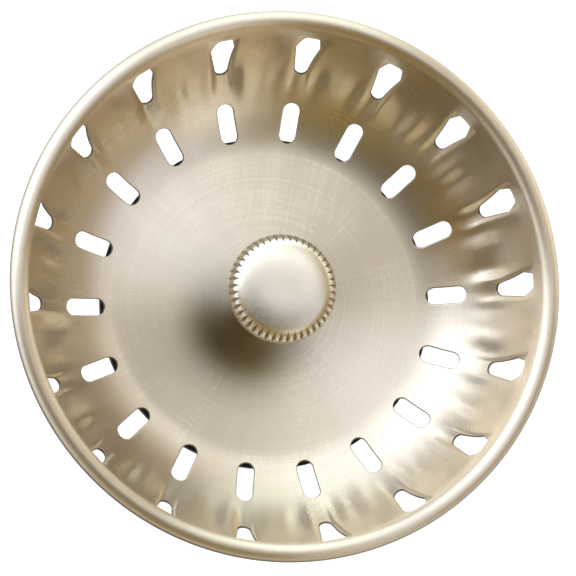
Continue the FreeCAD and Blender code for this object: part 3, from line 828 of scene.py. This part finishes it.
def bore_cutter():
    """The cross bore's hollow, narrowed at both mouths so that the balls stay in."""
    mouth_start = BALL_OFFSET + (SEAT_RADIUS - BORE_RADIUS * math.cos(MOUTH_SLOPE)) / math.sin(MOUTH_SLOPE)
    mouth_end = BALL_OFFSET + (SEAT_RADIUS - MOUTH_RADIUS * math.cos(MOUTH_SLOPE)) / math.sin(MOUTH_SLOPE)
    outside = POST_RADIUS + 1 * MM
    half = [(mouth_start, BORE_RADIUS), (mouth_end, MOUTH_RADIUS), (outside, MOUTH_RADIUS)]
    stations = [(-x, radius) for x, radius in reversed(half)] + half
    angles = even_angles(TURNED_COLUMNS // 2)
    rings = [[(-outside, 0, BALL_LEVEL)]]
    for x, radius in stations:
        rings.append(circle(radius, x, angles)[:, [2, 0, 1]] + (0, 0, BALL_LEVEL))
    rings.append([(outside, 0, BALL_LEVEL)])
    return ring_mesh("bore_cutter", rings)


def make_post():
    """Turned post: chamfered hex head, pin, groove, ball stretch and tapered tip, with its cross bore."""
    top = POST_HIGH.z
    hex_low = top - HEX_HEIGHT
    pin_end = hex_low - PIN_LENGTH
    groove = POST_RADIUS - GROOVE_DEPTH
    tip = POST_LOW.z + TIP_LENGTH
    angles = even_angles(TURNED_COLUMNS)
    corner = HEX_FLAT / np.cos(angles % (math.pi / 3) - math.pi / 6)
    drop = (corner - HEX_CHAMFER_RADIUS) * HEX_CHAMFER_SLOPE
    socket = rounded_section([
        (0, POST_SOCKET_END, 0),
        (POST_SOCKET_RADIUS, POST_SOCKET_END, 0),
        (POST_SOCKET_RADIUS, top, SMALL_ROUND),
        (HEX_CHAMFER_RADIUS, top, 0),
    ], open_ends=True)
    shank = rounded_section([
        (HEX_CHAMFER_RADIUS, hex_low, 0),
        (POST_RADIUS, hex_low, SMALL_ROUND),
        (POST_RADIUS, pin_end, SMALL_ROUND),
        (groove, pin_end, SMALL_ROUND),
        (groove, pin_end - GROOVE_WIDTH, SMALL_ROUND),
        (POST_RADIUS, pin_end - GROOVE_WIDTH, SMALL_ROUND),
        (POST_RADIUS, tip, TIP_ROUND),
        (TIP_RADIUS, POST_LOW.z, TIP_ROUND),
        (0, POST_LOW.z, 0),
    ], open_ends=True)
    sides = [circle(corner, top - drop, angles), circle(corner, hex_low + drop, angles)]
    piece = ring_mesh("post_turned", turned_rings(socket) + sides + turned_rings(shank))
    piece = crisp(drill(piece, bore_cutter()))
    return dress(piece, "strainer", "post_brass", "lock_post")


def make_ball(name, side, body, node):
    """Polished ball at the mouth of the cross bore."""
    centre = np.array((side * BALL_OFFSET, 0, BALL_LEVEL))
    angles = even_angles(TURNED_COLUMNS // 2)
    rings = [[centre + (0, 0, BALL_RADIUS)]]
    for step in range(1, BALL_STEPS):
        polar = math.pi * step / BALL_STEPS
        rings.append(circle(BALL_RADIUS * math.sin(polar), BALL_RADIUS * math.cos(polar), angles) + centre)
    rings.append([centre - (0, 0, BALL_RADIUS)])
    return dress(ring_mesh(name, rings), body, "ball_steel", node)


def make_spring():
    """Spring wire wound along the cross bore between the balls."""
    reach = BALL_OFFSET - math.sqrt((BALL_RADIUS + WIRE_RADIUS + COIL_GAP) ** 2 - COIL_RADIUS ** 2)
    rise = reach / (math.pi * COIL_TURNS)
    slant = math.atan2(rise, COIL_RADIUS)
    level, tilt = math.cos(slant), math.sin(slant)
    turns = even_angles(WIRE_STEPS)
    rings = []
    for step in range(COIL_TURNS * COIL_STEPS + 1):
        angle = 2 * math.pi * step / COIL_STEPS
        outward = np.array((0, math.cos(angle), math.sin(angle)))
        aside = np.array((level, tilt * math.sin(angle), -tilt * math.cos(angle)))
        middle = np.array((rise * angle - reach, 0, BALL_LEVEL)) + COIL_RADIUS * outward
        wire = np.outer(np.cos(turns), outward) + np.outer(np.sin(turns), aside)
        rings.append(middle + WIRE_RADIUS * wire)
    rings = [[rings[0].mean(axis=0)]] + rings + [[rings[-1].mean(axis=0)]]
    piece = dress(crisp(ring_mesh("spring_wire", rings)), "strainer", "spring_wire", "detent_spring")
    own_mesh(piece)
    return piece


def new_node(tree, kind, inputs=None, **settings):
    """A node with its settings, and its inputs set to values or linked to sockets."""
    made = tree.nodes.new(kind)
    for name, setting in settings.items():
        setattr(made, name, setting)
    for key, given in (inputs or {}).items():
        if isinstance(given, bpy.types.NodeSocket):
            tree.links.new(given, made.inputs[key])
        else:
            made.inputs[key].default_value = given
    return made


def calculate(tree, operation, *values):
    made = new_node(tree, "ShaderNodeMath", dict(enumerate(values)), operation=operation)
    return made.outputs[0]


def vector_maths(tree, operation, *values):
    made = new_node(tree, "ShaderNodeVectorMath", dict(enumerate(values)), operation=operation)
    return made.outputs["Value" if operation == "DOT_PRODUCT" else "Vector"]


def spread(tree, value, low, high, bottom, top, smooth=False):
    """Maps a value from one range to another, kept within it."""
    inputs = {"Value": value, "From Min": low, "From Max": high, "To Min": bottom, "To Max": top}
    made = new_node(tree, "ShaderNodeMapRange", inputs, clamp=True)
    made.interpolation_type = "SMOOTHSTEP" if smooth else "LINEAR"
    return made.outputs[0]


def mix_colour(tree, share, first, second):
    made = new_node(tree, "ShaderNodeMix", {0: share, 6: first, 7: second}, data_type="RGBA")
    return made.outputs[2]


def turned_coordinates(tree, around, across):
    """Coordinates that change slowly round the axis and fast across it, as turning marks do."""
    place = new_node(tree, "ShaderNodeTexCoord").outputs["Object"]
    parts = new_node(tree, "ShaderNodeSeparateXYZ", {0: place})
    x, y, z = parts.outputs
    squares = [calculate(tree, "MULTIPLY", part, part) for part in (x, y)]
    radius = calculate(tree, "SQRT", calculate(tree, "ADD", *squares))
    run = calculate(tree, "ADD", radius, z)
    scales = ((x, around), (y, around), (run, across))
    scaled = [calculate(tree, "MULTIPLY", part, scale) for part, scale in scales]
    return new_node(tree, "ShaderNodeCombineXYZ", dict(enumerate(scaled))).outputs[0]


def noise(tree, coordinates, scale, detail=2.0, roughness=0.5):
    inputs = {"Vector": coordinates, "Scale": scale, "Detail": detail, "Roughness": roughness}
    return new_node(tree, "ShaderNodeTexNoise", inputs).outputs["Fac"]


def start_material(name):
    material = bpy.data.materials.new(name)
    material.use_nodes = True
    tree = material.node_tree
    return material, tree, tree.nodes["Principled BSDF"]


def radial_coordinates(tree, around, across):
    """Coordinates that change fast round the axis and slowly along its radius, as streaks do."""
    place = new_node(tree, "ShaderNodeTexCoord").outputs["Object"]
    way = vector_maths(tree, "NORMALIZE", vector_maths(tree, "MULTIPLY", place, (1, 1, 0)))
    long = vector_maths(tree, "MULTIPLY", place, (across, across, across))
    return vector_maths(tree, "MULTIPLY_ADD", way, (around, around, around), long)


def dull_and_shaded(tree, shader, clean, dark, rough):
    """Sets the metal's colour and roughness, rougher and darker where the mesh's points say so; the
    darkening is partly painted shade.
    """
    dull_and_shade = new_node(tree, "ShaderNodeAttribute", attribute_name="dull_and_shade").outputs["Fac"]
    # Dark colour at the dull and shaded points: painted shade on the rim and under the knob, grime and
    # painted shade in the notches, darker cut edges
    stain_and_shade = tuple(DULL_AND_SHADE_SHARE * part for part in dark[:3]) + (1,)
    tree.links.new(mix_colour(tree, dull_and_shade, clean, stain_and_shade), shader.inputs["Base Color"])
    tree.links.new(calculate(tree, "MULTIPLY_ADD", dull_and_shade, DULL_ROUGHNESS, rough), shader.inputs["Roughness"])


def scratches(tree, place):
    """Bundles of straight hairlines along one direction, as wiping leaves them: from -1 to 1."""
    turned = new_node(tree, "ShaderNodeVectorRotate", {"Vector": place, "Angle": SCRATCH_ANGLE},
                      rotation_type="Z_AXIS").outputs[0]
    drawn = vector_maths(tree, "MULTIPLY", turned, SCRATCH_SCALE)
    lines = spread(tree, noise(tree, drawn, 1.0, 1.0), 0.3, 0.7, -1.0, 1.0)
    bundles = spread(tree, noise(tree, place, SCRATCH_BUNDLES, 1.0), 0.5, 0.65, 0.0, 1.0, smooth=True)
    return calculate(tree, "MULTIPLY", lines, bundles)


def brushed_metal(name, dark, light, roughness, anisotropy, around, across, relief):
    """Metal brushed or turned in circles about the strainer's axis, rougher and darker where its mesh says
    so, the darkening partly painted shade.
    """
    material, tree, shader = start_material(name)
    marks = noise(tree, turned_coordinates(tree, around, across), 1.0, 3.0, 0.6)
    streaks = noise(tree, radial_coordinates(tree, STREAKS_AROUND, STREAKS_ACROSS), 1.0, 3.0, 0.6)
    place = new_node(tree, "ShaderNodeTexCoord").outputs["Object"]
    clouds = noise(tree, place, CLOUD_SCALE, 3.0)
    tone = calculate(tree, "MULTIPLY", clouds, CLOUD_SHARE)
    hairlines = scratches(tree, place)
    for part, share in ((streaks, STREAK_SHARE), (marks, MARK_SHARE), (hairlines, HAIRLINE_SHARE)):
        tone = calculate(tree, "MULTIPLY_ADD", part, share, tone)
    clean = mix_colour(tree, spread(tree, tone, TONE_LOW, TONE_HIGH, 0.0, 1.0), dark, light)
    low, high = roughness
    rough = spread(tree, tone, TONE_LOW, TONE_HIGH, high, low)
    bump = new_node(tree, "ShaderNodeBump", {"Strength": 1.0, "Distance": relief, "Height": marks})
    tangent = new_node(tree, "ShaderNodeTangent", direction_type="RADIAL", axis="Z")
    shader.inputs["Metallic"].default_value = 1.0
    shader.inputs["Anisotropic"].default_value = anisotropy
    shader.inputs["Anisotropic Rotation"].default_value = GROOVE_TURN
    dull_and_shaded(tree, shader, clean, dark, rough)
    tree.links.new(bump.outputs[0], shader.inputs["Normal"])
    tree.links.new(tangent.outputs[0], shader.inputs["Tangent"])
    return material


def satin_metal(name, dark, light, roughness, grain, relief):
    """Plain metal with a fine even grain, rougher and darker where its mesh says so, the darkening partly
    painted shade.
    """
    material, tree, shader = start_material(name)
    place = new_node(tree, "ShaderNodeTexCoord").outputs["Object"]
    fine = noise(tree, place, grain, 3.0)
    clouds = noise(tree, place, SATIN_CLOUD_SCALE, 2.0)
    clean = mix_colour(tree, spread(tree, clouds, TONE_LOW, TONE_HIGH, 0.0, 1.0), dark, light)
    low, high = roughness
    rough = spread(tree, fine, TONE_LOW, TONE_HIGH, low, high)
    bump = new_node(tree, "ShaderNodeBump", {"Strength": 1.0, "Distance": relief, "Height": fine})
    shader.inputs["Metallic"].default_value = 1.0
    dull_and_shaded(tree, shader, clean, dark, rough)
    tree.links.new(bump.outputs[0], shader.inputs["Normal"])
    return material


def rubber(name):
    """Matt black moulded rubber with a faint bloom."""
    material, tree, shader = start_material(name)
    place = new_node(tree, "ShaderNodeTexCoord").outputs["Object"]
    grain = noise(tree, place, 3000.0, 3.0)
    bloom = noise(tree, place, 120.0, 3.0)
    black, grey = (0.006, 0.005, 0.004, 1), (0.014, 0.013, 0.011, 1)
    colour = mix_colour(tree, spread(tree, bloom, TONE_LOW, TONE_HIGH, 0.0, 1.0), black, grey)
    bump = new_node(tree, "ShaderNodeBump", {"Strength": 0.6, "Distance": 0.03 * MM, "Height": grain})
    shader.inputs["Specular IOR Level"].default_value = 0.12
    tree.links.new(colour, shader.inputs["Base Color"])
    tree.links.new(spread(tree, bloom, 0.3, 0.7, 0.5, 0.7), shader.inputs["Roughness"])
    tree.links.new(bump.outputs[0], shader.inputs["Normal"])
    return material


def make_materials():
    return {
        "cup_steel": brushed_metal(
            "cup_steel", (0.722, 0.627, 0.466, 1), (0.798, 0.703, 0.534, 1), roughness=(0.255, 0.315),
            anisotropy=0.95, around=26.0, across=5000.0, relief=0.001 * MM),
        "knob_nickel": satin_metal(
            "knob_nickel", (0.71, 0.64, 0.5, 1), (0.75, 0.68, 0.54, 1), roughness=(0.33, 0.39),
            grain=2500.0, relief=0.0006 * MM),
        "turned_steel": brushed_metal(
            "turned_steel", (0.4, 0.38, 0.34, 1), (0.52, 0.5, 0.46, 1), roughness=(0.25, 0.4),
            anisotropy=0.6, around=100.0, across=8000.0, relief=0.004 * MM),
        "black_rubber": rubber("black_rubber"),
        "plate_steel": brushed_metal(
            "plate_steel", (0.52, 0.51, 0.48, 1), (0.64, 0.63, 0.6, 1), roughness=(0.3, 0.45),
            anisotropy=0.3, around=120.0, across=4000.0, relief=0.004 * MM),
        "post_brass": brushed_metal(
            "post_brass", (0.56, 0.46, 0.27, 1), (0.7, 0.6, 0.38, 1), roughness=(0.25, 0.4),
            anisotropy=0.5, around=120.0, across=7000.0, relief=0.004 * MM),
        "ball_steel": satin_metal(
            "ball_steel", (0.7, 0.7, 0.71, 1), (0.78, 0.78, 0.79, 1), roughness=(0.06, 0.12),
            grain=3000.0, relief=0.0005 * MM),
        "spring_wire": satin_metal(
            "spring_wire", (0.42, 0.42, 0.42, 1), (0.55, 0.55, 0.54, 1), roughness=(0.25, 0.4),
            grain=5000.0, relief=0.002 * MM),
    }


def make_floor():
    """Pale floor that looks white, also in reflections, and keeps the object's shadow."""
    bpy.ops.mesh.primitive_circle_add(vertices=STAGE_SIDES, radius=STAGE_RADIUS, fill_type="NGON",
                                      location=(0, 0, cad_bounds[0].z))
    floor = bpy.context.active_object
    floor.name = "floor"
    material = bpy.data.materials.new("pale_floor")
    material.use_nodes = True
    material.cycles.emission_sampling = "NONE"
    tree = material.node_tree
    tree.nodes.clear()
    path = new_node(tree, "ShaderNodeLightPath").outputs
    seen = calculate(tree, "MAXIMUM", path["Is Camera Ray"], path["Is Glossy Ray"])
    seen = calculate(tree, "MAXIMUM", seen, path["Is Transmission Ray"])
    glow = new_node(tree, "ShaderNodeEmission", {"Color": (1, 1, 1, 1), "Strength": STAGE_GLOW})
    shade = new_node(tree, "ShaderNodeBsdfDiffuse", {"Color": STAGE_SHADE})
    shown = new_node(tree, "ShaderNodeAddShader", {0: glow.outputs[0], 1: shade.outputs[0]})
    plain = new_node(tree, "ShaderNodeBsdfDiffuse", {"Color": STAGE_COLOUR})
    top = new_node(tree, "ShaderNodeMixShader", {0: seen, 1: plain.outputs[0], 2: shown.outputs[0]})
    clear = new_node(tree, "ShaderNodeBsdfTransparent")
    below = new_node(tree, "ShaderNodeNewGeometry").outputs["Backfacing"]
    sided = new_node(tree, "ShaderNodeMixShader", {0: below, 1: top.outputs[0], 2: clear.outputs[0]})
    new_node(tree, "ShaderNodeOutputMaterial", {"Surface": sided.outputs[0]})
    floor.data.materials.append(material)


def direction(azimuth, elevation):
    a, e = math.radians(azimuth), math.radians(elevation)
    return (math.cos(a) * math.cos(e), math.sin(a) * math.cos(e), math.sin(e))


def make_studio():
    """A dim warm room with soft windows and a dark side behind the camera."""
    world = bpy.data.worlds.new("studio")
    bpy.context.scene.world = world
    world.use_nodes = True
    tree = world.node_tree
    tree.nodes.clear()
    way = new_node(tree, "ShaderNodeTexCoord").outputs["Generated"]
    colour = ROOM_TONE
    for box in STUDIO:
        facing = vector_maths(tree, "DOT_PRODUCT", way, direction(box.azimuth, box.elevation))
        edge, core = (math.cos(math.radians(angle)) for angle in (box.reach, box.core))
        share = spread(tree, facing, edge, core, 0.0, 1.0, smooth=True)
        colour = mix_colour(tree, share, colour, box.colour)
    background = new_node(tree, "ShaderNodeBackground", {"Color": colour, "Strength": 1.0})
    new_node(tree, "ShaderNodeOutputWorld", {"Surface": background.outputs[0]})


def make_camera():
    """The photograph's viewpoint, aimed so that the rim's centre falls on its pixel."""
    rim_centre = Vector((0, 0, RIM_LEVEL))
    back = Vector((math.sin(CAMERA_TILT) * math.cos(CAMERA_AZIMUTH),
                   math.sin(CAMERA_TILT) * math.sin(CAMERA_AZIMUTH), math.cos(CAMERA_TILT)))
    upright = Vector((math.cos(CAMERA_UP_AZIMUTH), math.sin(CAMERA_UP_AZIMUTH), 0))
    place = rim_centre + back * CAMERA_DISTANCE
    right = upright.cross(back).normalized()
    up = back.cross(right)
    focal_pixels = CAMERA_LENS_MM / SENSOR_MM * FRAME_PIXELS
    middle = (FRAME_PIXELS - 1) / 2
    across = (RIM_CENTRE_PIXEL[0] - middle) / focal_pixels
    above = (middle - RIM_CENTRE_PIXEL[1]) / focal_pixels
    back = (back + right * across + up * above).normalized()
    right = upright.cross(back).normalized()
    up = back.cross(right)
    lens = bpy.data.cameras.new("camera")
    lens.lens = CAMERA_LENS_MM
    lens.sensor_width = SENSOR_MM
    lens.clip_start = 0.01
    lens.clip_end = 50
    camera = bpy.data.objects.new("camera", lens)
    camera.matrix_world = Matrix.Translation(place) @ Matrix((right, up, back)).transposed().to_4x4()
    bpy.context.scene.collection.objects.link(camera)
    bpy.context.scene.camera = camera


def dress_nodes():
    """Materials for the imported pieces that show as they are."""
    for part in frame["record"]["subparts"]:
        node = frame["nodes"][part["node"]]
        node.data.materials.clear()
        node.data.materials.append(MATERIALS[part["material_slot"]])


bpy.context.scene.view_settings.view_transform = "Standard"
MATERIALS = make_materials()
dress_nodes()
make_basket()
make_knob()
make_stem()
dress(flat_ring("floor_washer_turned", FLOOR_WASHER_LOW, FLOOR_WASHER_HIGH, (SMALL_ROUND, SMALL_ROUND)),
      "strainer", "turned_steel", "floor_washer")
make_stopper()
dress(flat_ring("backing_plate_pressed", PLATE_LOW, PLATE_HIGH, (DIE_ROLL, SMALL_ROUND)),
      "strainer", "plate_steel", "stopper_backing_plate")
make_lock_washer()
make_post()
make_ball("ball_left_polished", -1, "left_ball", "detent_ball_left")
make_ball("ball_right_polished", 1, "right_ball", "detent_ball_right")
make_spring()
make_floor()
make_studio()
make_camera()
